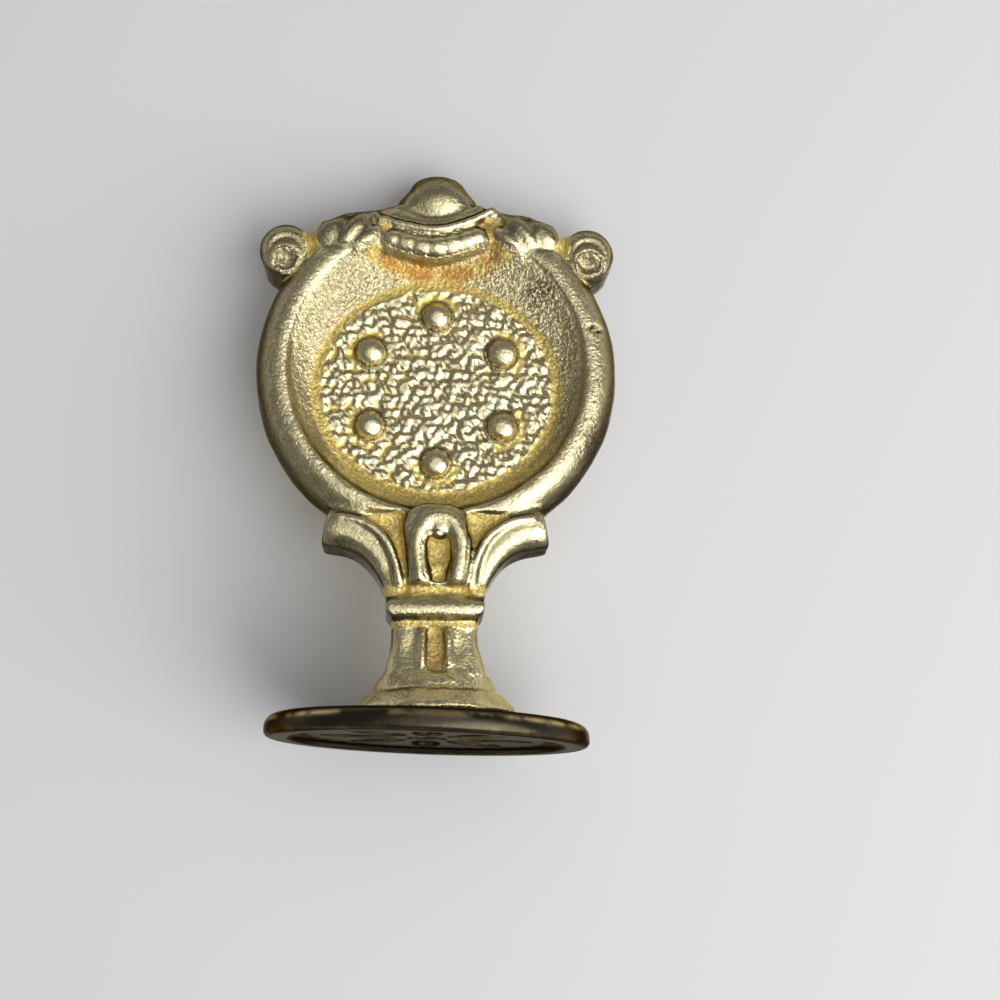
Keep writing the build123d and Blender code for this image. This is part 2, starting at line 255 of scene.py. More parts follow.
def curve_through(knots):
    """Points on a smooth curve through the knots."""
    knots = [Vector(knot) for knot in knots]
    ends = [knots[0], *knots, knots[-1]]
    path = []
    for before, here, after, beyond in zip(ends, ends[1:], ends[2:], ends[3:]):
        lead = here + (after - before) / 6
        trail = after - (beyond - here) / 6
        path += geometry.interpolate_bezier(here, lead, trail, after, CURVE_STEPS + 1)[:-1]
    return np.array([*path, knots[-1]])


def beside_curve(across, up, knots):
    """How far each point is from the curve through the knots, and the curve's level beside it."""
    nearest = np.full(len(across), FAR)
    level = np.zeros(len(across))
    path = curve_through(knots)
    for start, end in zip(path, path[1:]):
        run_across, climb, run_up = end - start
        part = (across - start[0]) * run_across + (up - start[2]) * run_up
        part = np.clip(part / (run_across**2 + run_up**2), 0, 1)
        gap = np.hypot(across - start[0] - part * run_across, up - start[2] - part * run_up)
        level = np.where(gap < nearest, start[1] + part * climb, level)
        nearest = np.minimum(gap, nearest)
    return nearest, level


def roll_height(across, up, knots, half_width, rise):
    """Height of a roll along the curve through the knots, or 0 where there is none."""
    gap, level = beside_curve(across, up, knots)
    swell = np.sqrt(np.clip(1 - (gap / half_width) ** 2, 0, 1))
    return np.where(gap < half_width, level + rise * swell, 0)


def bean_height(across, up, middle, half_length, half_width, rise, tilt):
    """Height of an egg lying on its side, tilted up from level, or 0 where there is none."""
    ahead = across - middle[0]
    above = up - middle[2]
    along = (ahead * math.cos(tilt) + above * math.sin(tilt)) / half_length
    aside = (above * math.cos(tilt) - ahead * math.sin(tilt)) / half_width
    inside = 1 - along**2 - aside**2
    return np.where(inside > 0, middle[1] + rise * np.sqrt(np.clip(inside, 0, 1)), 0)


print("points on a curve of three knots:", len(curve_through(((0, 0, 0), (1, 0, 1), (2, 0, 0)))))

# %% [markdown]
# ## Relaxing and wrapping anew
# Carving by heights leaves steps where forms meet, and stretches the net on steep sides. Relaxing
# smooths the points of one region alone. Wrapping the carved handle once more makes its net even.


# %% Relax a region or wrap the handle anew
def relax(place, weight, rounds):
    """Smooths the points where the weight is 1 and leaves them where it is 0."""
    return place + (averaged(handle.data, place, rounds) - place) * np.asarray(weight, float)[:, None]


def fresh_skin(place, rounds):
    """Wraps the carved handle anew, so that its net is even again, and reads its points."""
    write_points(handle.data, from_mm(place))
    cast_skin(handle, HANDLE_PITCH, rounds)
    return to_mm(read_points(handle.data))


print("net of", HANDLE_PITCH / MM, "mm squares")

# %% [markdown]
# ## Ground of the crest
# The crest is carved afresh over the solid's plainer one, as a carver would clear a space before
# cutting in it. Its ground goes down to one level below the knob. Beside the shell the rim has to run
# on under the leaves, so its profile is read off its sides, where nothing covers it, and put back.

# %% Clear the crest's ground
CREST_GROUND = 1.7
CREST_HALF_WIDTH = 7.6
FACE_LEVEL = 0.8
CUSHION_FOOT = 6.25
LEAF_FOOT = 7.4
LEAF_START = 3.2
LEAF_FULL = 4.2
LEAF_LOWEST = 6.4
KNOB_UP = 31.3
KNOB_HALF_WIDTH = 2.75
KNOB_HALF_HEIGHT = 2.25
SIDE_LIFT = 4
SIDE_REACH = 8.6
RIM_INSIDE = 8.7
RIM_OUTSIDE = 10.95
RIM_STEP = 0.1


def crest_foot_at(across):
    """The lift at which the crest begins, lower below the cushion than below the leaves."""
    return CUSHION_FOOT + (LEAF_FOOT - CUSHION_FOOT) * step(np.abs(across), LEAF_START, LEAF_FULL)


def knob_covers(across, up):
    return np.hypot(across / KNOB_HALF_WIDTH, (up - KNOB_UP) / KNOB_HALF_HEIGHT) < 1


on_sides = (np.abs(lift) < SIDE_LIFT) & (reach > SIDE_REACH)
rim_places = np.arange(RIM_INSIDE, RIM_OUTSIDE, RIM_STEP)
rim_tops = [height[on_sides & (np.abs(reach - middle) < RIM_STEP)].max() for middle in rim_places]
rim_level = np.interp(reach, rim_places, rim_tops)
crest_foot = crest_foot_at(across)
in_front = (height > FACE_LEVEL) & (np.abs(across) < CREST_HALF_WIDTH)
cleared = in_front & (lift > crest_foot) & ~knob_covers(across, up)
height = np.where(cleared, np.minimum(height, CREST_GROUND), height)
under_leaf = in_front & (lift > LEAF_LOWEST) & (lift <= crest_foot)
under_leaf &= (reach > RIM_INSIDE) & (np.abs(across) > LEAF_START)
height = np.where(under_leaf, np.maximum(height, rim_level), height)
place[:, 1] = front * height
place = relax(place, cleared | under_leaf, 6)
place = fresh_skin(place, 1)
print("points cleared:", int(cleared.sum()), "and rim put back:", int(under_leaf.sum()))

# %% [markdown]
# ## Crest
# On the ground lie a cushion, one thick roll with thin cuts across it like the ribs of a fan, and a
# ribbon that sags from end to end. A low seat joins the ribbon to the knob. On each side there are a
# strap, three beans that make a leaf, a small one behind the ribbon's end, and a web between leaf and
# volute. Heights are quicker here than a dozen small meshes that would have to be joined.

# %% Draw the crest's forms
CUSHION = ((-2.75, 1.75, 28.5), (-0.15, 1.9, 28.0), (2.4, 1.75, 28.7))
CUSHION_HALF_WIDTH = 0.86
CUSHION_RISE = 1.1
FAN_PIVOT = 33.05
FAN_PITCH = math.radians(10.9)
RIB_CUT_HALF_WIDTH = 0.085
RIB_CUT_DEPTH = 0.15
RIBBON = (
    (-3.45, 1.75, 29.9),
    (-1.8, 1.95, 29.4),
    (-0.05, 2.05, 29.15),
    (1.8, 1.95, 29.7),
    (3.3, 1.7, 30.55),
)
KNOB_SEAT = (
    (-2.6, 1.7, 30.2),
    (-1.5, 1.75, 29.85),
    (0, 1.8, 29.65),
    (1.5, 1.75, 30.05),
    (2.5, 1.7, 30.6),
)
STRAP = ((3.2, 1.55, 29.7), (3.5, 1.65, 28.75), (4.0, 1.6, 27.65))
WEB = ((7.5, 0.9, 29.0), (7.2, 1.1, 28.0), (7.15, 1.1, 27.0))
WEB_HALF_WIDTH = 0.75
# A roll is its curve, half width and rise. Paired rolls and beans lie on both sides.
SINGLE_ROLLS = ((RIBBON, 0.37, 0.7), (KNOB_SEAT, 0.5, 0.3))
PAIRED_ROLLS = ((STRAP, 0.4, 0.6), (WEB, WEB_HALF_WIDTH, 0.8))
# A bean is its middle, half length, half width, rise and tilt in degrees.
PAIRED_BEANS = (
    ((6.3, 1.3, 29.0), 1.55, 1.2, 1.35, 140),
    ((5.12, 1.55, 29.05), 1.72, 0.88, 1.4, 130),
    ((4.3, 1.75, 28.55), 1.45, 0.75, 1.15, 139),
    ((3.75, 1.6, 30.1), 0.7, 0.5, 0.5, 20),
)


def fan_of(across, up):
    """Each point's angle in the shell's fan, and how far it is from the pivot of the fan."""
    return np.arctan2(across, FAN_PIVOT - up), np.hypot(across, FAN_PIVOT - up)


across, depth, up, front, height, lift, reach = measure(place)
fan, fan_reach = fan_of(across, up)
rib_gap = np.abs((fan / FAN_PITCH) % 1 - 0.5) * FAN_PITCH * fan_reach
cushion = roll_height(across, up, CUSHION, CUSHION_HALF_WIDTH, CUSHION_RISE)
cushion -= np.where(cushion > 0, ridge(rib_gap, 0, RIB_CUT_HALF_WIDTH) * RIB_CUT_DEPTH, 0)
forms = [cushion]
for curve, half_width, rise in SINGLE_ROLLS:
    forms.append(roll_height(across, up, curve, half_width, rise))
for curve, half_width, rise in PAIRED_ROLLS:
    forms.append(roll_height(np.abs(across), up, curve, half_width, rise))
for middle, half_length, half_width, rise, tilt in PAIRED_BEANS:
    turn = math.radians(tilt)
    forms.append(bean_height(np.abs(across), up, middle, half_length, half_width, rise, turn))
print("forms on the crest:", len(forms))

# %% [markdown]
# ## Raising the crest
# Every point of the crest now goes up to the highest form over it, with a narrow ditch round the
# cushion. The outer leaf slopes down to the volute, and the knob is drawn in below its top, like a bell.

# %% Raise the crest
CREST_LOWEST = 6
CREST_REACH = 8.2
DITCH_GAP = 0.95
DITCH_HALF_WIDTH = 0.12
DITCH_DEPTH = 0.2
SLOPE_UP = 29.7
SLOPE_SHARE = 0.75
SLOPE_START = 5.4
SLOPE_FULL = 7.3
SLOPE_END = 7.8
KNOB_NECK = 32.4
KNOB_NECK_HALF_HEIGHT = 0.7
KNOB_NARROWS = 0.17

on_crest = (lift > CREST_LOWEST) & (np.abs(across) < CREST_REACH) & (height > FACE_LEVEL)
cushion_gap, _ = beside_curve(across, up, CUSHION)
height -= on_crest * ridge(cushion_gap, DITCH_GAP, DITCH_HALF_WIDTH) * DITCH_DEPTH
height = np.where(on_crest, np.maximum(height, np.maximum.reduce(forms)), height)
outer_leaf = step(np.abs(across), SLOPE_START, SLOPE_FULL) * (np.abs(across) < SLOPE_END)
place[:, 2] -= outer_leaf * np.maximum(up - SLOPE_UP, 0) * SLOPE_SHARE
narrowed = KNOB_NARROWS * ridge(up, KNOB_NECK, KNOB_NECK_HALF_HEIGHT) * step(up, 30.9, 31.4)
place[:, 0] *= 1 - narrowed
place[:, 1] = front * height
place = relax(place, on_crest, 3)
print("points on the crest:", int(on_crest.sum()))

# %% [markdown]
# ## Valleys of the calyx
# Below the dish two leaves curl outwards. The ground between them is soft in the casting, so it is
# relaxed far more than the rest, and a short slope joins it to the rim above.

# %% Soften the valleys
VALLEY_HALF_WIDTH = 5.6
RIM_JOIN_HALF_WIDTH = 5
RIM_JOIN_REACH = 9.1
RIM_JOIN_UP = 10.8
RIM_JOIN_LEVEL = 1.75
RIM_JOIN_SLOPE = 0.5


def facing_out():
    """How squarely the skin looks out of the front or the back, from 0 to 1."""
    return np.abs(read_normals(handle.data) @ to_upright[1, :3])


across, depth, up = place.T
height = np.abs(depth)
facing = facing_out()
valley = (np.abs(across) < VALLEY_HALF_WIDTH) & between(height, 1.2, 2.45)
place = relax(place, valley * band(up, 7.0, 7.5, 10.8, 12.2), 50)
height = np.abs(place[:, 1])
at_rim = between(up, 10.4, 12.6) & (np.abs(across) < RIM_JOIN_HALF_WIDTH)
at_rim &= (reach > RIM_JOIN_REACH) & (height > 1)
rim_join = RIM_JOIN_LEVEL + RIM_JOIN_SLOPE * (up - RIM_JOIN_UP)
height = np.where(at_rim, np.maximum(height, rim_join), height)
print("points in the valleys:", int(valley.sum()), "and at the rim:", int(at_rim.sum()))

# %% [markdown]
# ## Calyx and collar
# A roll edges each calyx leaf, and between the leaves stands an arch with a small lump in its panel.
# The collar is one level roll, and a hollow cove parts it from the calyx above and from the stem below.
# The photograph has the arch a little to the right of the middle.

# %% Carve the calyx and the collar
LEAF_EDGE = (
    (2.05, 2.2, 7.4),
    (2.35, 2.3, 8.8),
    (3.05, 2.35, 10.2),
    (4.3, 2.3, 11.1),
    (5.6, 2.15, 11.4),
)
ARCH = ((0.98, 2.6, 7.6), (1.3, 2.65, 9.8), (0.75, 2.7, 11.1), (0, 2.7, 11.35))
ARCH_SHIFT = 0.22
ARCH_LUMP = (0.15, 2.1, 8.35)
ARCH_CROWN = (0.22, 2.4, 10.7)
COLLAR_ROLL = ((-2.5, 2.3, 6.0), (0, 2.4, 6.0), (2.5, 2.3, 6.0))
# A cove is how far up it is, and its half width.
COVES = ((7.05, 0.36), (5.1, 0.22))
COVE_LEVEL = 2.38
COVE_REACH = 3.4
CALYX_LEVEL = 1.8
CALYX_FACING = 0.2


def in_coves(across, up):
    """1 along the middle of a cove and 0 away from both."""
    share = np.maximum.reduce([ridge(up, middle, half_width) for middle, half_width in COVES])
    return share * (np.abs(across) < COVE_REACH)


forms = (
    roll_height(np.abs(across), up, LEAF_EDGE, 0.34, 0.5),
    roll_height(np.abs(across - ARCH_SHIFT), up, ARCH, 0.6, 0.62),
    bean_height(across, up, ARCH_LUMP, 0.45, 0.5, 0.42, 0),
    bean_height(across, up, ARCH_CROWN, 0.8, 0.62, 0.85, 0),
    roll_height(across, up, COLLAR_ROLL, 0.7, 0.64),
)
on_calyx = between(up, 5, 12.4) & (height > CALYX_LEVEL) & (facing > CALYX_FACING)
height = np.where(on_calyx, np.maximum(height, np.maximum.reduce(forms)), height)
cove = in_coves(across, up)
height -= cove * np.maximum(height - COVE_LEVEL, 0)
place[:, 1] = front * height
place = relax(place, on_calyx, 2)
print("points on the calyx:", int(on_calyx.sum()), "and in the coves:", int((cove > 0.5).sum()))

# %% [markdown]
# ## Dish
# The dish slopes in an easy curve from the ridge of the rim to the field, a level oval that sits a
# little low in it. Where a point lies between the two tells how far the slope has risen there.

# %% Slope the dish
DISH_RADIUS = 9.0
DISH_RISE = 1.4
DISH_STRAIGHT = 0.3
FIELD_HALF_WIDTH = 7.25
FIELD_HALF_HEIGHT = 6.5
FIELD_DROP = 1.25
FIELD_HEIGHT = 1.2
LEAST_SLOPE = 0.05


def field_reach_of(across, lift):
    """1 on the edge of the field, and less inside it."""
    return np.hypot(across / FIELD_HALF_WIDTH, (lift + FIELD_DROP) / FIELD_HALF_HEIGHT)


across, depth, up = place.T
height = np.abs(depth)
field_reach = field_reach_of(across, lift)
past_field = (field_reach - 1) * (FIELD_HALF_WIDTH + FIELD_HALF_HEIGHT) / 2
way_up = np.clip(past_field / np.maximum(past_field + DISH_RADIUS - reach, LEAST_SLOPE), 0, 1)
slope = FIELD_HEIGHT + DISH_RISE * (DISH_STRAIGHT * way_up + (1 - DISH_STRAIGHT) * way_up**2)
slope = np.where(lift > crest_foot_at(across), np.minimum(slope, CREST_GROUND), slope)
in_dish = (reach < DISH_RADIUS) & (field_reach > 1)
height = np.where(in_dish, np.maximum(height, slope), height)
print("points in the dish:", int(in_dish.sum()))

# %% [markdown]
# ## Studs
# Six studs stand in soft hollows, so each is a dome with a shallow moat round it, and a faint groove
# edges the field. After this the skin is wrapped once more, because the steep sides of the carving
# have stretched it.

# %% Set the studs
STUDS = 6
STUD_RING = 4.55
STUD_RADIUS = 1.0
STUD_STAND = 0.82
MOAT_RADIUS = 1.15
MOAT_HALF_WIDTH = 0.25
MOAT_DEPTH = 0.1
FIELD_HEADROOM = 1.2
GROOVE_SHARE = 0.02
GROOVE_TOP = 1.6
GROOVE_DEPTH = 0.08


def nearest_stud(across, lift):
    """How far each point is from the middle of its nearest stud."""
    gap = np.full(len(across), FAR)
    for stud in range(STUDS):
        turn = math.radians(90 + stud * 360 / STUDS)
        stud_lift = STUD_RING * math.sin(turn) - FIELD_DROP
        gap = np.minimum(gap, np.hypot(across - STUD_RING * math.cos(turn), lift - stud_lift))
    return gap


stud_gap = nearest_stud(across, lift)
dome = STUD_STAND * np.sqrt(np.clip(1 - (stud_gap / STUD_RADIUS) ** 2, 0, 1))
ground = FIELD_HEIGHT + dome - MOAT_DEPTH * ridge(stud_gap, MOAT_RADIUS, MOAT_HALF_WIDTH)
in_field = (field_reach <= 1) & (height < FIELD_HEIGHT + FIELD_HEADROOM)
height = np.where(in_field, ground, height)
groove = ridge(field_reach, 1.0, GROOVE_SHARE) * (reach < DISH_RADIUS) * (height < GROOVE_TOP)
height -= groove * GROOVE_DEPTH
place[:, 1] = front * height
on_rim_slope = band(reach, 7.2, 8.6, 9.8, 10.4) * (np.abs(lift) < 7.5)
place = relax(place, on_rim_slope, 24)
below_rim = band(np.abs(across), 1.6, 2.2, 4.6, 5.4) * ridge(up, 12.3, 0.6)
place = relax(place, below_rim * (height > 1), 40)
print("points in the field:", int(in_field.sum()))
place = fresh_skin(place, 2)

# %% [markdown]
# ## Pebbles
# The field's ground was punched with a small round tool until no flat was left, and each blow pushed
# up a pebble of metal. The pebbles are low domes on a honeycomb of places, each a little shifted,
# stretched and turned, so that no two are alike. A fixed seed gives the same field every time.

# %% Punch the field
PEBBLE_SEED = 7
PEBBLE_PITCH = 0.55
PEBBLE_RADIUS = 0.325
PEBBLE_HEIGHT = 0.23
PEBBLE_SUNK = 0.4
PEBBLE_STRAY = 0.25
PEBBLE_STRETCH = 1.35
PEBBLE_SMALLEST = 0.75
PEBBLE_LARGEST = 1.15
ROW_PITCH = 0.866

across, depth, up, front, height, lift, reach = measure(place)
field_reach = field_reach_of(across, lift)
stud_gap = nearest_stud(across, lift)
in_field = (field_reach <= 1) & (height < FIELD_HEIGHT + FIELD_HEADROOM)
pebbled = (1 - step(field_reach, 0.94, 1.0)) * step(stud_gap, 1.0, 1.2) * in_field
chance = random.Random(PEBBLE_SEED)
spots = np.flatnonzero(pebbled > 0.01)
pebble = np.zeros(len(place))
rows = int(FIELD_HALF_HEIGHT / PEBBLE_PITCH / ROW_PITCH) + 1
columns = int(FIELD_HALF_WIDTH / PEBBLE_PITCH) + 1
for row in range(-rows, rows + 1):
    for column in range(-columns, columns + 1):
        stray_across = chance.uniform(-PEBBLE_STRAY, PEBBLE_STRAY)
        stray_up = chance.uniform(-PEBBLE_STRAY, PEBBLE_STRAY)
        middle_across = (column + row % 2 / 2 + stray_across) * PEBBLE_PITCH
        middle_lift = (row * ROW_PITCH + stray_up) * PEBBLE_PITCH - FIELD_DROP
        turn = chance.uniform(0, math.pi)
        stretch = chance.uniform(1, PEBBLE_STRETCH)
        size = PEBBLE_RADIUS * chance.uniform(PEBBLE_SMALLEST, PEBBLE_LARGEST)
        middle = (middle_across, 0, middle_lift)
        rise = size / PEBBLE_RADIUS
        dome = bean_height(across[spots], lift[spots], middle, size * stretch, size / stretch, rise, turn)
        pebble[spots] = np.maximum(pebble[spots], dome)
place[:, 1] += front * (pebble - PEBBLE_SUNK) * pebbled * PEBBLE_HEIGHT
place = relax(place, in_field, 1)
print("points on pebbles:", int((pebble > 0.2).sum()))

# %% [markdown]
# ## Volutes
# Each volute is a scroll, a round roll that curls over a small rough eye low on its face. A dome gives
# the roll, and the eye is a shallow bowl in it with an uneven floor.

# %% Roll the volutes
VOLUTE_ACROSS = 9.14
VOLUTE_UP = 27.7
VOLUTE_RADIUS = 1.5
VOLUTE_LEVEL = 1.55
VOLUTE_RISE = 0.75
EYE_ACROSS = 9.2
EYE_UP = 27.15
EYE_RADIUS = 0.85
EYE_LEVEL = 1.75
EYE_WALL = 0.45
EYE_EDGE = 1.05
EYE_ROUGHNESS = 0.16
LUMPS_PER_MM = 2.6

across, depth, up = place.T
height = np.abs(depth)
eye_gap = np.hypot(np.abs(across) - EYE_ACROSS, up - EYE_UP) / EYE_RADIUS
lumps = np.array([noise.noise(Vector(spot) * LUMPS_PER_MM) for spot in place])
volute_gap = np.hypot(np.abs(across) - VOLUTE_ACROSS, up - VOLUTE_UP) / VOLUTE_RADIUS
scroll = VOLUTE_LEVEL + VOLUTE_RISE * np.sqrt(np.clip(1 - volute_gap**2, 0, 1))
height = np.where((volute_gap < 1) & (height > 1), np.maximum(height, scroll), height)
eye_floor = EYE_LEVEL + EYE_ROUGHNESS * lumps + EYE_WALL * step(eye_gap, 0.2, EYE_EDGE)
height = np.where((eye_gap < EYE_EDGE) & (height > 1), np.minimum(height, eye_floor), height)
place[:, 1] = front * height
place = relax(place, (volute_gap < 1.1) & (height > 1), 2)
write_points(handle.data, from_mm(place))
print("points in the eyes:", int((eye_gap < 1).sum()))

# %% [markdown]
# ## Foot and a pit
# A line runs round the foot where its flange begins, and one small pit marks the rim, where the sand
# mould lost a grain. Both follow the skin, so they are pressed in along its normals.

# %% Mark the foot and the rim
FOOT_LINE_UP = 1.5
FOOT_LINE_HALF_WIDTH = 0.16
FOOT_LINE_DEPTH = 0.16
PIT_ACROSS = 9.6
PIT_UP = 23.1
PIT_SQUASH = 2
PIT_HALF_WIDTH = 0.36
PIT_DEPTH = 0.5


def in_pit(across, depth, up):
    """1 in the middle of the pit, which is on the front alone."""
    gap = np.hypot(across - PIT_ACROSS, (up - PIT_UP) * PIT_SQUASH)
    return ridge(gap, 0, PIT_HALF_WIDTH) * (depth < 0)


normals = read_normals(handle.data) @ to_upright[:3, :3].T
foot_line = ridge(up, FOOT_LINE_UP, FOOT_LINE_HALF_WIDTH) * FOOT_LINE_DEPTH
pit = in_pit(across, depth, up) * PIT_DEPTH
place -= normals * (foot_line + pit)[:, None]
print("deepest mark in mm:", round(float((foot_line + pit).max()), 2))

# %% [markdown]
# ## Uneven metal
# No hand casting is quite even. Slow noise pushes the skin in by a few hundredths of a millimetre, and
# never out, so that the piece doesn't grow. The stem came out worst: the frame round its panel has gone
# soft, and its faces are wrinkled.

# %% Unsettle the skin
WAVER_PITCH = 2.0
WAVER = 0.07
WRINKLE_PITCH = 0.95
WRINKLE = 0.07

on_stem = 1 - step(up, 4.7, 5.2)
place = relax(place, on_stem, 8)
waver = np.array([noise.fractal(Vector(spot) / WAVER_PITCH, 1.0, 2.0, 4) for spot in place])
wrinkle = np.array([noise.noise(Vector(spot) / WRINKLE_PITCH) for spot in place])
dip = np.clip(0.5 - waver * 0.6, 0, 1) * WAVER + np.clip(0.3 - wrinkle, 0, 1) * WRINKLE * on_stem
place -= normals * dip[:, None]
write_points(handle.data, from_mm(place))
across, depth, up = place.T
height = np.abs(depth)
print("wavers between", round(float(waver.min()), 2), "and", round(float(waver.max()), 2))

# %% [markdown]
# ## Hollow and proud
# Years of handling polish what stands out, while lacquer and dirt stay in the hollows. The shape
# itself says which is which: where the smoothed skin lies above the real one there is a hollow, and
# where it lies below there is an edge. The answer is kept on the mesh as attributes that the
# materials read.


# %% Measure the relief
def keep_mask(piece, name, mask):
    """Stores one number for each point of the piece, under that name."""
    piece.data.attributes.new(name, "FLOAT", "POINT").data.foreach_set("value", mask)


def mark_relief(piece, fine_rounds, broad_rounds):
    """Stores how hollow (positive) or proud (negative) each point is, in millimetres, at two scales."""
    mesh = piece.data
    here = read_points(mesh)
    outwards = read_normals(mesh)
    relief = {}
    for name, rounds in (("relief_fine", fine_rounds), ("relief_broad", broad_rounds)):
        relief[name] = ((averaged(mesh, here, rounds) - here) * outwards).sum(axis=1) / MM
        keep_mask(piece, name, relief[name])
        print(piece.name, name, np.percentile(relief[name], (2, 25, 50, 75, 98)).round(3))
    return relief


relief = mark_relief(handle, fine_rounds=18, broad_rounds=160)

# %% [markdown]
# ## Where the lacquer stayed
# Warm lacquer stays wherever fingers don't reach: the ring at the foot of the dish, the moats round the
# studs, the ground below the shell, the valleys of the calyx, the coves and the stem's panel. A mask for
# each is worked out from the relief or from where a point is, and the strongest wins. Masks are painted
# by rule and not by hand, so that they follow every form.

# %% Mask the lacquer
DISH_FLOOR_TOP = 1.9
STEM_COAT = 0.3

broad_hollow = step(relief["relief_broad"], 0.06, 0.3)
fine_hollow = step(relief["relief_fine"], 0.02, 0.09) * 0.7
dish_floor = (reach < DISH_RADIUS) * (height < DISH_FLOOR_TOP)
field_out = np.hypot(across, lift + FIELD_DROP) - STUD_RING
fan, fan_reach = fan_of(across, up)
under_shell = ridge(fan_reach, 6.45, 0.65) * (1 - step(np.abs(fan), 0.45, 0.75)) * dish_floor
leaf_path = curve_through(LEAF_EDGE)
leaf_edge = np.interp(up, leaf_path[:, 2], leaf_path[:, 0]) * (1 - 0.7 * step(up, 11.2, 12))
between_leaves = step(leaf_edge - np.abs(across), 0.1, 0.5) * band(up, 7.2, 7.8, 11.6, 12.6)
on_web = step(roll_height(np.abs(across), up, WEB, WEB_HALF_WIDTH, 1), 0.9, 1.4)
on_strap = step(roll_height(np.abs(across), up, STRAP, 0.45, 1), 1.4, 2.2)
panel = (1 - step(np.abs(across), 0.3, 0.6)) * ridge(up, 3.6, 1.0) * step(height, 1.8, 2.2)
coats = {
    "hollows": np.maximum(broad_hollow, fine_hollow) * (1 - 0.6 * in_field),
    "ring of the dish": ridge(field_reach, 1.0, 0.05) * dish_floor * 1.3,
    "foot of the dish": step(-lift, 4.0, 7.0) * dish_floor * (1 - in_field),
    "moats": ridge(stud_gap, 1.25, 0.22) * in_field * step(field_out, -0.6, 0.9),
    "below the shell": under_shell,
    "valleys": between_leaves * (1 - step(height, 2.35, 2.65)),
    "webs": on_web * (1 - step(height, 2.0, 2.3)),
    "straps": on_strap * (1 - step(height, 2.2, 2.5)),
    "panel": panel,
    "coves": in_coves(across, up) * (height < 2.7),
    "stem": on_stem * STEM_COAT,
    "between pebbles": (1 - step(pebble, 0.05, 0.45)) * pebbled * (0.4 + 0.4 * step(-across, -2, 5)),
}
lacquer = np.maximum.reduce(list(coats.values())) * (1 - 0.6 * (eye_gap < 1))
amber = np.maximum(under_shell, panel * 0.6)
print("lacquer on:", {name: round(float(coat.mean()), 3) for name, coat in coats.items()})

# %% [markdown]
# ## Painted shade
# Painted shade darkens the sides of the casting that turn away from the front, and also the tops of knob,
# leaves and volutes, the flanks of the studs, the crevices between pebbles and the pit. Two spots of the
# front are darker and speckled.

# %% Mask the painted shade
# A spot is how far across and up from the medallion's middle it is, and how far it spreads.
DARK_SPOTS = ((6.2, 4.8, 1.5), (9.6, -4.8, 1.9))

in_bowl = step(DISH_RADIUS - reach, 0.1, 0.6) * (height < 2.5)
turned_away = 1 - step(facing_out(), 0.4, 0.92)
leaf_band = band(np.abs(across), 3.7, 4.2, 7.2, 7.6)
# Painted shade: each of these masks darkens the colour where shade falls or dark surroundings would be
# mirrored.
painted_shade = {
    "sides": turned_away * (1 - in_bowl) * (0.25 + 0.75 * step(up, 2.5, 5)),
    "flanks of the studs": ridge(stud_gap, 0.95, 0.14) * in_field * 0.6,
    "pit": in_pit(across, depth, up),
    "crevices": (1 - step(pebble, 0.1, 0.5)) * pebbled * 0.15,
    "top of the knob": knob_covers(across, up) * step(up, 30.6, 32.4) * 0.45,
    "tops of the leaves": leaf_band * step(lift, 7.2, 8.2) * 0.55,
    "tops of the volutes": (volute_gap < 1.2) * step(up, 27.4, 28.6) * 0.4,
}
# Two spots of the front are darkened with speckle, in the same colour as the dirt in the grain.
dark_spots = np.zeros(len(place))
for spot_across, spot_lift, spread in DARK_SPOTS:
    spot_gap = np.hypot(across - spot_across, lift - spot_lift)
    dark_spots = np.maximum(dark_spots, ridge(spot_gap, 0, spread) * (depth < 0))
print("dark metal on:", {name: round(float(dark.mean()), 3) for name, dark in painted_shade.items()})

# %% [markdown]
# ## Grain
# The sand's grain still shows in the bowl of the dish, most on its right, and wherever lacquer keeps
# fingers off. The rim and the stem have less of it, and the punched field hardly any. Then all the masks
# are stored on the mesh for the brass to read.

# %% Mask the grain and keep the masks
LEAST_GRAIN = 0.27

rough_bowl = in_bowl * (0.65 + 0.35 * step(across, -2, 5))
rough_bowl *= 1 - 0.45 * step(-lift, 2, 7)
rough_bowl += in_bowl * 0.25 * step(-across, 1, 6) * step(lift, 1, 6)
on_rim = step(reach, 8.5, 9) * (1 - step(np.abs(lift), 6.5, 7.5)) * 0.45
least = np.full(len(place), LEAST_GRAIN)
grainy = (rough_bowl, 0.7 * lacquer, 0.9 * (eye_gap < 1), 0.32 * on_stem, on_rim, least)
grain_mask = np.maximum.reduce(grainy)
grain_mask *= 1 - 0.7 * np.maximum(pebbled, stud_gap < 1) * in_field
masks = {
    "lacquer": lacquer,
    "amber": amber,
    "sides": np.maximum.reduce(list(painted_shade.values())),
    "dark_spots": dark_spots,
    "grain": grain_mask,
    "pebbled": pebbled,
    "pale": np.maximum(pebbled, on_stem),
}
for name, mask in masks.items():
    keep_mask(handle, name, mask)
    print(name, "covers", round(float(mask.mean()), 3))

# %% [markdown]
# ## Thinning the skin
# The even net has served its purpose, and it is far too dense on plain metal. A Decimate modifier
# joins points where the skin is nearly flat and keeps them in the carving. The masks stay on the
# points that are left.

# %% Thin the handle
HANDLE_TRIANGLES = 190000

dense = triangles_in(handle.data)
thinning = handle.modifiers.new("thinning", "DECIMATE")
thinning.ratio = HANDLE_TRIANGLES / dense
thinned = settle(handle)
shade_smooth(thinned)
print("handle thinned from", dense, "to", triangles_in(thinned), "triangles")

# %% [markdown]
# ## Disc and solder
# The disc was turned and its edges are rubbed, so it takes the same kind of skin. Two masks go with it: a
# line high on its rim, where a highlight is painted, and the engraved face below, where painted glints
# brighten the rubbed edges. The solder is a thin ring that ran out round the foot, and it is wrapped more
# finely because it is so thin.

# %% Skin the disc and the solder
DISC_PITCH = 0.11 * MM
DISC_RADIUS = 9.5
SHOULDER_DROP = 0.42
SHOULDER_HALF_WIDTH = 0.12
SOLDER_PITCH = 0.07 * MM

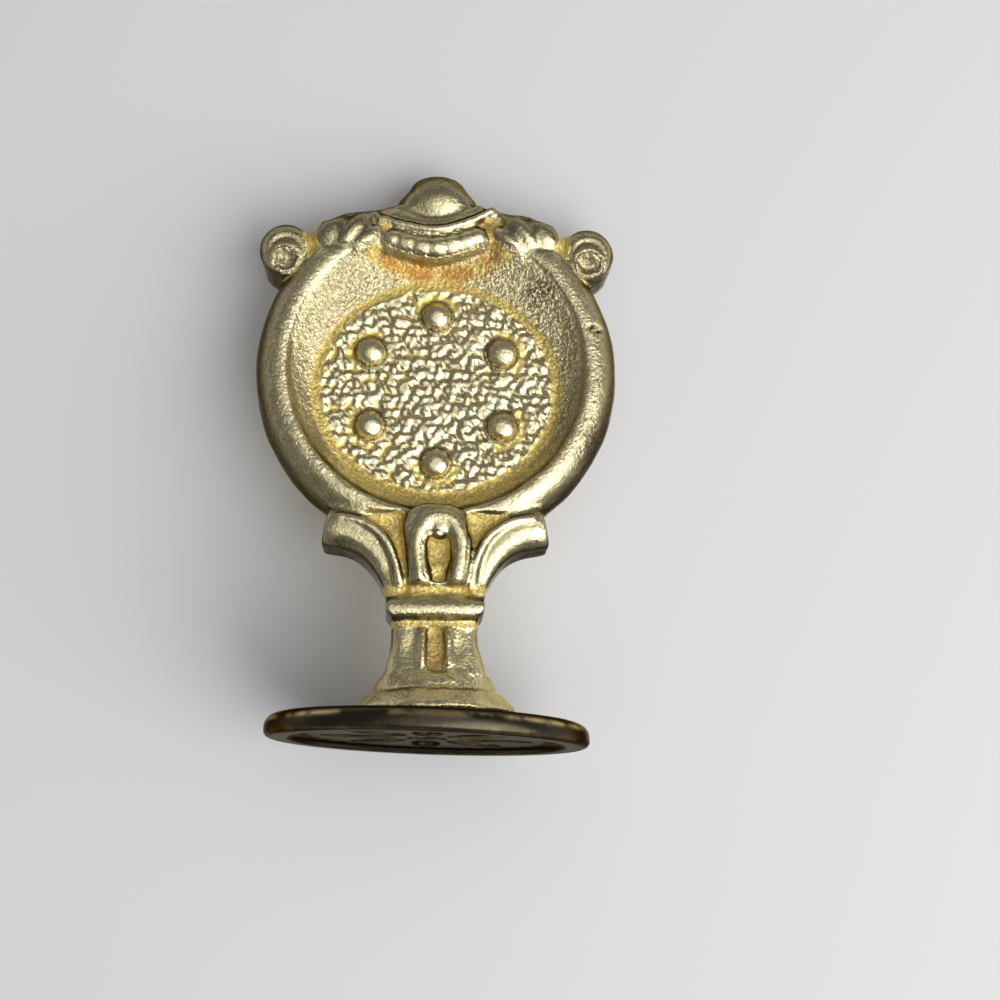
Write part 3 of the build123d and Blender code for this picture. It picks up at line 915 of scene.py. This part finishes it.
disc = merged_copy("seal_disc", "bronze_disc")
cast_skin(disc, DISC_PITCH, CASTING_ROUNDS)
mark_relief(disc, fine_rounds=8, broad_rounds=60)
disc_places = read_points(disc.data) / MM
from_top = disc_places[:, 2].max() - disc_places[:, 2]
from_edge = DISC_RADIUS - np.hypot(disc_places[:, 0], disc_places[:, 1])
shoulder = ridge(from_top, SHOULDER_DROP, SHOULDER_HALF_WIDTH) * (1 - step(from_edge, 0.3, 0.6))
engraved = step(from_edge, 0.7, 1.2) * (1 - step(disc_places[:, 2], 0.4, 0.7))
keep_mask(disc, "shoulder", shoulder)
keep_mask(disc, "engraved", engraved)
print("shoulder covers", round(float(shoulder.mean()), 3), "and engraving", round(float(engraved.mean()), 3))
solder = merged_copy("foot_solder", "solder_joint")
cast_skin(solder, SOLDER_PITCH, 2)
mark_relief(solder, fine_rounds=6, broad_rounds=30)

# %% [markdown]
# ## Wiring nodes
# A material is a tree of nodes, and most of this one is arithmetic on masks and noise. A few helpers
# keep it readable: each makes one node, joins what goes into it and hands back what comes out.


# %% Helpers for node trees
def join(tree, source, target):
    tree.links.new(source, target)


def math_node(tree, operation, first, second):
    """A Math node. Each operand is a number or an output socket."""
    node = tree.nodes.new("ShaderNodeMath")
    node.operation = operation
    for socket, value in zip(node.inputs, (first, second)):
        if isinstance(value, (int, float)):
            socket.default_value = value
        else:
            join(tree, value, socket)
    return node.outputs[0]


def ramp(tree, value, low, high):
    """The value stretched so that low gives 0 and high gives 1, smoothly."""
    node = tree.nodes.new("ShaderNodeMapRange")
    node.interpolation_type = "SMOOTHSTEP"
    node.inputs["From Min"].default_value = low
    node.inputs["From Max"].default_value = high
    join(tree, value, node.inputs["Value"])
    return node.outputs["Result"]


def noise_field(tree, scale, detail):
    """Noise on the piece's own coordinates. Scale is a number or a socket, in cells per metre."""
    place_node = tree.nodes.new("ShaderNodeTexCoord")
    node = tree.nodes.new("ShaderNodeTexNoise")
    node.inputs["Detail"].default_value = detail
    node.inputs["Roughness"].default_value = 0.6
    if isinstance(scale, (int, float)):
        node.inputs["Scale"].default_value = scale
    else:
        join(tree, scale, node.inputs["Scale"])
    join(tree, place_node.outputs["Object"], node.inputs["Vector"])
    return node.outputs["Fac"]


def attribute(tree, name):
    node = tree.nodes.new("ShaderNodeAttribute")
    node.attribute_name = name
    return node.outputs["Fac"]


print("pieces to paint:", [piece.name for piece in (handle, disc, solder)])

# %% [markdown]
# ## Shared finishes
# Two effects come back in more than one metal: the fine grain that sand leaves, and the rubbing
# that brightens edges. Each is a node group with its own inputs, built once.

# %% Build the grain and wear groups
BRASS_GRAIN = 5200
COARSE_GRAIN_SHARE = 0.45
RUB_NOISE = 700


def new_group(name, inputs, outputs):
    """An empty node group with number inputs and outputs, and its two end nodes."""
    group = bpy.data.node_groups.new(name, "ShaderNodeTree")
    for label, default in inputs:
        socket = group.interface.new_socket(label, in_out="INPUT", socket_type="NodeSocketFloat")
        socket.default_value = default
    for label in outputs:
        group.interface.new_socket(label, in_out="OUTPUT", socket_type="NodeSocketFloat")
    return group, group.nodes.new("NodeGroupInput"), group.nodes.new("NodeGroupOutput")


grain_group, grain_in, grain_out = new_group("sand_grain", [("Scale", BRASS_GRAIN)], ["Height", "Specks"])
fine_grain = noise_field(grain_group, grain_in.outputs["Scale"], 3)
coarse_scale = math_node(grain_group, "MULTIPLY", grain_in.outputs["Scale"], COARSE_GRAIN_SHARE)
coarse_grain = noise_field(grain_group, coarse_scale, 2)
join(grain_group, math_node(grain_group, "ADD", fine_grain, coarse_grain), grain_out.inputs["Height"])
join(grain_group, ramp(grain_group, fine_grain, 0.42, 0.66), grain_out.inputs["Specks"])

wear_group, wear_in, wear_out = new_group("edge_rub", [("Start", 0.01), ("Full", 0.06)], ["Rubbed"])
proud = math_node(wear_group, "MULTIPLY", attribute(wear_group, "relief_fine"), -1)
past_start = math_node(wear_group, "SUBTRACT", proud, wear_in.outputs["Start"])
span = math_node(wear_group, "SUBTRACT", wear_in.outputs["Full"], wear_in.outputs["Start"])
even_rub = math_node(wear_group, "DIVIDE", past_start, span)
rub_noise = math_node(wear_group, "SUBTRACT", noise_field(wear_group, RUB_NOISE, 2), 0.5)
patchy_rub = math_node(wear_group, "ADD", even_rub, rub_noise)
join(wear_group, ramp(wear_group, patchy_rub, 0, 1), wear_out.inputs["Rubbed"])
print("groups:", [group.name for group in bpy.data.node_groups])

# %% [markdown]
# ## Metals
# Every metal of the seal is a Principled shader, with its colour mixed from two or more and a fine
# bump on its normal. These helpers make such a material and its usual parts.


# %% Helpers for metals
def new_material(name, metallic=1.0):
    """A material with only a Principled shader, and its node tree."""
    material = bpy.data.materials.new(name)
    material.use_nodes = True
    shader = material.node_tree.nodes["Principled BSDF"]
    shader.inputs["Metallic"].default_value = metallic
    return material, material.node_tree, shader


def mix_colour(tree, factor, first, second):
    """A colour mix. Each colour is a tuple or a socket."""
    node = tree.nodes.new("ShaderNodeMix")
    node.data_type = "RGBA"
    join(tree, factor, node.inputs["Factor"])
    for socket, colour in ((node.inputs[6], first), (node.inputs[7], second)):
        if isinstance(colour, tuple):
            socket.default_value = (*colour, 1)
        else:
            join(tree, colour, socket)
    return node.outputs[2]


def use_group(tree, group, **values):
    node = tree.nodes.new("ShaderNodeGroup")
    node.node_tree = group
    for label, value in values.items():
        node.inputs[label].default_value = value
    return node


def bump(tree, shader, height):
    """A Bump node on the shader's normal, for a height in metres."""
    node = tree.nodes.new("ShaderNodeBump")
    node.inputs["Distance"].default_value = 1
    join(tree, height, node.inputs["Height"])
    join(tree, node.outputs["Normal"], shader.inputs["Normal"])


brass, tree, shader = new_material("lacquered_brass")
print("first metal:", brass.name)

# %% [markdown]
# ## Old cast brass
# Brass dulls to olive where hands wear off the lacquer, shines pale on its edges, and keeps a warm
# yellow coat in its hollows that turns to amber where it is thickest. Its sides and some tops are darkened
# as painted shade, and dirt sits in the grain. One material mixes these colours by the masks on the mesh.

# %% Mix the brass
PALE_BRASS = (0.9, 0.79, 0.47)
OLIVE_BRASS = (0.6, 0.53, 0.29)
# The darkest brass is painted shade, not a colour of the metal.
PAINTED_SHADE_BRASS = (0.13, 0.113, 0.068)
YELLOW_LACQUER = (0.98, 0.755, 0.24)
AMBER_LACQUER = (0.72, 0.36, 0.08)
GRIME = (0.10, 0.085, 0.05)
PAINTED_SHADE_SHARE = 0.9
FLECK_NOISE = 2200
FLECKS = 1.8
AMBER_NOISE = 900
GRIME_SHARE = 0.6

grain = use_group(tree, grain_group, Scale=BRASS_GRAIN)
rub = use_group(tree, wear_group, Start=-0.01, Full=0.03)
sand = attribute(tree, "grain")
bright = math_node(tree, "MAXIMUM", sand, attribute(tree, "pale"))
bright = math_node(tree, "MAXIMUM", rub.outputs["Rubbed"], bright)
colour = mix_colour(tree, bright, OLIVE_BRASS, PALE_BRASS)
# Painted shade: the mask of sides darkens the colour almost to black.
painted_shade_share = math_node(tree, "MULTIPLY", attribute(tree, "sides"), PAINTED_SHADE_SHARE)
colour = mix_colour(tree, painted_shade_share, colour, PAINTED_SHADE_BRASS)
flecks = math_node(tree, "SUBTRACT", noise_field(tree, FLECK_NOISE, 4), 0.5)
flecks = math_node(tree, "MULTIPLY", flecks, FLECKS)
coated_share = ramp(tree, math_node(tree, "ADD", attribute(tree, "lacquer"), flecks), 0.2, 1.0)
colour = mix_colour(tree, coated_share, colour, YELLOW_LACQUER)
amber_patches = ramp(tree, noise_field(tree, AMBER_NOISE, 3), 0.3, 0.6)
thick_share = math_node(tree, "MULTIPLY", attribute(tree, "amber"), amber_patches)
colour = mix_colour(tree, thick_share, colour, AMBER_LACQUER)
dirt = math_node(tree, "MULTIPLY", sand, GRIME_SHARE)
dirt = math_node(tree, "MAXIMUM", dirt, attribute(tree, "dark_spots"))
between_specks = math_node(tree, "SUBTRACT", 1, grain.outputs["Specks"])
colour = mix_colour(tree, math_node(tree, "MULTIPLY", between_specks, dirt), colour, GRIME)
join(tree, colour, shader.inputs["Base Color"])
print("nodes for the colour of the brass:", len(tree.nodes))

# %% [markdown]
# ## Gloss of the brass
# Bare metal is smooth, and a coat of lacquer is duller and less like a mirror. The grain is a bump that
# is strong on the ground of the dish and faint on rubbed edges, and finer pebbles lie between those that
# were modelled.

# %% Polish the brass
LACQUER_DULLS = 0.5
SAND_DULLS = 0.3
BARE_ROUGHNESS = 0.19
LACQUER_ROUGHENS = 0.15
# A dark specular tint dims the reflections at grazing angles: painted shade at the edges.
BRASS_SHADED_EDGE_TINT = (0.2, 0.18, 0.12, 1)
BRASS_GRAIN_DEPTH = 0.16 * MM
FINE_PEBBLE_PITCH = 0.5 * MM
FINE_PEBBLE_DEPTH = 0.06 * MM


def pebble_field(tree, pitch):
    """Low domes of that pitch in metres, from 0 between them to 1 on top."""
    place_node = tree.nodes.new("ShaderNodeTexCoord")
    node = tree.nodes.new("ShaderNodeTexVoronoi")
    node.feature = "SMOOTH_F1"
    node.inputs["Scale"].default_value = 1 / pitch
    node.inputs["Smoothness"].default_value = 0.35
    join(tree, place_node.outputs["Object"], node.inputs["Vector"])
    return math_node(tree, "SUBTRACT", 1, math_node(tree, "POWER", node.outputs["Distance"], 2))


dull = math_node(tree, "MAXIMUM", coated_share, math_node(tree, "MULTIPLY", sand, SAND_DULLS))
less_metal = math_node(tree, "MULTIPLY", dull, LACQUER_DULLS)
join(tree, math_node(tree, "SUBTRACT", 1, less_metal), shader.inputs["Metallic"])
rougher = math_node(tree, "MULTIPLY", coated_share, LACQUER_ROUGHENS)
join(tree, math_node(tree, "ADD", BARE_ROUGHNESS, rougher), shader.inputs["Roughness"])
shader.inputs["Specular Tint"].default_value = BRASS_SHADED_EDGE_TINT
sand_height = math_node(tree, "MULTIPLY", grain.outputs["Height"], sand)
sand_height = math_node(tree, "MULTIPLY", sand_height, BRASS_GRAIN_DEPTH)
fine_pebbles = pebble_field(tree, FINE_PEBBLE_PITCH)
pebble_share = math_node(tree, "MULTIPLY", fine_pebbles, attribute(tree, "pebbled"))
pebble_height = math_node(tree, "MULTIPLY", pebble_share, FINE_PEBBLE_DEPTH)
bump(tree, shader, math_node(tree, "ADD", sand_height, pebble_height))
handle.data.materials.append(brass)
print("nodes for the whole brass:", len(tree.nodes))

# %% [markdown]
# ## Dark bronze and solder
# The disc is a browner alloy that nobody polished, so it is dark and smooth. The bright line along its
# shoulder is a painted highlight, and its rubbed edges shine, on the engraved face partly as painted glints.
# The solder is duller than either metal.

# %% Mix the bronze and the solder
DARK_BRONZE = (0.07, 0.059, 0.041)
WORN_AND_HIGHLIGHT_BRONZE = (0.66, 0.5, 0.25)
# The dark specular tint of the bronze is painted shade too, dimming its reflections at grazing angles.
BRONZE_SHADED_EDGE_TINT = (0.3, 0.26, 0.2, 1)
BRONZE_GRAIN = 2600
BRONZE_GRAIN_DEPTH = 0.012 * MM
BLOTCH_NOISE = 420
RUBBED_RIM_SHARE = 0.3
FACE_WEAR_AND_GLINT_SHARE = 0.5
DULL_SOLDER = (0.3, 0.24, 0.12)
SOLDER_GRAIN = 4000
SOLDER_GRAIN_DEPTH = 0.02 * MM

bronze, tree, shader = new_material("turned_bronze")
grain = use_group(tree, grain_group, Scale=BRONZE_GRAIN)
rub = use_group(tree, wear_group, Start=0.01, Full=0.06)
blotches = ramp(tree, noise_field(tree, BLOTCH_NOISE, 3), 0.42, 0.6)
# Painted highlight: a bright line along the shoulder, broken by blotches.
painted_shoulder_highlight = math_node(tree, "MULTIPLY", attribute(tree, "shoulder"), blotches)
# Rubbed edges are brightened, and on the engraved face they get more of it as painted glints.
rub_and_glint_share = math_node(tree, "MULTIPLY", attribute(tree, "engraved"), FACE_WEAR_AND_GLINT_SHARE)
rub_and_glint_share = math_node(tree, "ADD", rub_and_glint_share, RUBBED_RIM_SHARE)
wear_and_highlight = math_node(tree, "MULTIPLY", rub.outputs["Rubbed"], rub_and_glint_share)
wear_and_highlight = math_node(tree, "MAXIMUM", wear_and_highlight, painted_shoulder_highlight)
join(tree, mix_colour(tree, wear_and_highlight, DARK_BRONZE, WORN_AND_HIGHLIGHT_BRONZE), shader.inputs["Base Color"])
shader.inputs["Roughness"].default_value = 0.3
shader.inputs["Specular Tint"].default_value = BRONZE_SHADED_EDGE_TINT
bump(tree, shader, math_node(tree, "MULTIPLY", grain.outputs["Height"], BRONZE_GRAIN_DEPTH))
disc.data.materials.append(bronze)

run_solder, tree, shader = new_material("run_solder")
grain = use_group(tree, grain_group, Scale=SOLDER_GRAIN)
join(tree, mix_colour(tree, grain.outputs["Specks"], GRIME, DULL_SOLDER), shader.inputs["Base Color"])
shader.inputs["Roughness"].default_value = 0.42
bump(tree, shader, math_node(tree, "MULTIPLY", grain.outputs["Height"], SOLDER_GRAIN_DEPTH))
solder.data.materials.append(run_solder)
print("materials:", [material.name for material in (brass, bronze, run_solder)])

# %% [markdown]
# ## Hand the pieces to the frame
# Nothing moves on a seal, so all three pieces ride on its one body. Each stands for its solid, which
# is hidden.

# %% Ride and replace
for piece, node, slot in (
    (handle, "handle_casting", "cast_brass"),
    (disc, "seal_disc", "dark_bronze"),
    (solder, "foot_solder", "hard_solder"),
):
    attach(piece, "root")
    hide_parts(node)
print("pieces:", [piece.name for piece in (handle, disc, solder)])

# %% [markdown]
# ## Camera
# The photograph was taken from straight above, with the seal lying on its back and its disc propping
# it up. Seen from the seal itself, that is a camera in front of the medallion and a little below
# its foot, with the handle upright in the picture. The picture is 1000 pixels square.

# %% Place the camera
PICTURE = 1000
FOCAL_PIXELS = 1800
PIXELS_PER_MM = 16.65
AXIS_PIXEL = 435.5
AIM_HEIGHT = 14.58
AZIMUTH = math.radians(-3)
ELEVATION = math.radians(-12)
SENSOR = 36

level = math.cos(ELEVATION)
back = Vector((math.sin(AZIMUTH) * level, -math.cos(AZIMUTH) * level, math.sin(ELEVATION)))
right = Vector((math.cos(AZIMUTH), math.sin(AZIMUTH), 0))
over = back.cross(right).normalized()
aim_across = (PICTURE / 2 - AXIS_PIXEL) / PIXELS_PER_MM / math.cos(AZIMUTH)
aim = Vector((aim_across * MM, 0, AIM_HEIGHT * MM - HANDLE_SEAT))
in_upright = Matrix((right, over, back)).transposed().to_4x4()
in_upright.translation = aim + back * (FOCAL_PIXELS / PIXELS_PER_MM * MM)
camera_data = bpy.data.cameras.new("photo_camera")
camera_data.sensor_width = SENSOR
camera_data.lens = FOCAL_PIXELS / PICTURE * SENSOR
camera_data.clip_start = 1 * MM
camera = bpy.data.objects.new("photo_camera", camera_data)
bpy.context.scene.collection.objects.link(camera)
camera.matrix_world = handle_upright @ in_upright
bpy.context.scene.camera = camera
print("camera at", [round(value / MM, 1) for value in camera.matrix_world.translation])

# %% [markdown]
# ## Floor
# The seal lies on a pale floor: a plane behind it that stands on the back edge of the disc and leans
# until it touches the back of the crest. The lean is read off the handle's points, so that nothing pokes
# through the floor.

# %% Lay the floor
FLOOR_TOUCH = Vector((0, 9.52 * MM, 0.6 * MM))
FLOOR_HALF = 0.4
ABOVE_COLLAR = 10 * MM

back_points = read_points(handle.data) - np.array(FLOOR_TOUCH)
back_points = back_points[back_points[:, 2] > ABOVE_COLLAR]
floor_lean = float(np.arctan2(-back_points[:, 1], back_points[:, 2]).min())
net = bmesh.new()
bmesh.ops.create_grid(net, x_segments=1, y_segments=1, size=FLOOR_HALF)
bmesh.ops.rotate(net, verts=net.verts, matrix=Matrix.Rotation(math.pi / 2 + floor_lean, 3, "X"))
bmesh.ops.translate(net, verts=net.verts, vec=FLOOR_TOUCH)
floor_mesh = bpy.data.meshes.new("pale_floor")
net.to_mesh(floor_mesh)
net.free()
floor = bpy.data.objects.new("pale_floor", floor_mesh)
bpy.context.scene.collection.objects.link(floor)
print("floor faces", [round(value, 3) for value in floor_mesh.polygons[0].normal])

# %% [markdown]
# ## Floor paint
# The floor is matt and pale. It only shows its front, so that a camera behind the seal looks through
# it. Close behind the seal it also lets light through, or the back would lie in the dark.

# %% Paint the floor
CLOSE_BEHIND = 14 * MM
FLOOR_GREY = (0.7, 0.7, 0.71, 1)

floor_paint, tree, shader = new_material("pale_floor", metallic=0.0)
shader.inputs["Base Color"].default_value = FLOOR_GREY
shader.inputs["Roughness"].default_value = 0.9
clear = tree.nodes.new("ShaderNodeBsdfTransparent")
paint_or_clear = tree.nodes.new("ShaderNodeMixShader")
light_path = tree.nodes.new("ShaderNodeLightPath")
close_by = math_node(tree, "LESS_THAN", light_path.outputs["Ray Length"], CLOSE_BEHIND)
close_by = math_node(tree, "SUBTRACT", close_by, light_path.outputs["Is Camera Ray"])
from_behind = tree.nodes.new("ShaderNodeNewGeometry").outputs["Backfacing"]
join(tree, math_node(tree, "MAXIMUM", from_behind, close_by), paint_or_clear.inputs[0])
join(tree, shader.outputs[0], paint_or_clear.inputs[1])
join(tree, clear.outputs[0], paint_or_clear.inputs[2])
join(tree, paint_or_clear.outputs[0], tree.nodes["Material Output"].inputs["Surface"])
floor.data.materials.append(floor_paint)
print("floor painted:", floor_paint.name)

# %% [markdown]
# ## Light
# The highlights on the studs sit low and to the right, so the main lamp is a soft panel on that side, as
# from a window. A broader and weaker panel near the camera fills the faces, and a dim grey world does
# the rest, because metal needs something dark to mirror. Two more panels light the back the same way.

# %% Hang the lamps
SEAL_MIDDLE = Vector((0, 0, 17 * MM))
# A panel is its name, direction from the seal, distance and size in metres, and watts.
PANELS = (
    ("window_panel", (0.62, -0.66, -0.42), 0.27, 0.34, 0.72),
    ("ceiling_panel", (0.22, -1, -0.2), 0.3, 0.5, 0.45),
    ("back_window_panel", (0.45, 0.8, 0.45), 0.27, 0.3, 0.3),
    ("back_ceiling_panel", (-0.3, 1, 0.3), 0.3, 0.5, 0.33),
)
ROOM_GREY = (0.17, 0.17, 0.17, 1)

for name, direction, distance, size, watts in PANELS:
    lamp = bpy.data.lights.new(name, "AREA")
    lamp.shape = "DISK"
    lamp.size = size
    lamp.energy = watts
    hung_panel = bpy.data.objects.new(name, lamp)
    bpy.context.scene.collection.objects.link(hung_panel)
    away = Vector(direction).normalized()
    hung_panel.location = SEAL_MIDDLE + away * distance
    hung_panel.rotation_euler = away.to_track_quat("Z", "Y").to_euler()

world = bpy.data.worlds.new("grey_room")
world.use_nodes = True
world.node_tree.nodes["Background"].inputs["Color"].default_value = ROOM_GREY
bpy.context.scene.world = world
bpy.context.scene.view_settings.view_transform = "Standard"
print("lamps:", [light.name for light in bpy.data.lights])
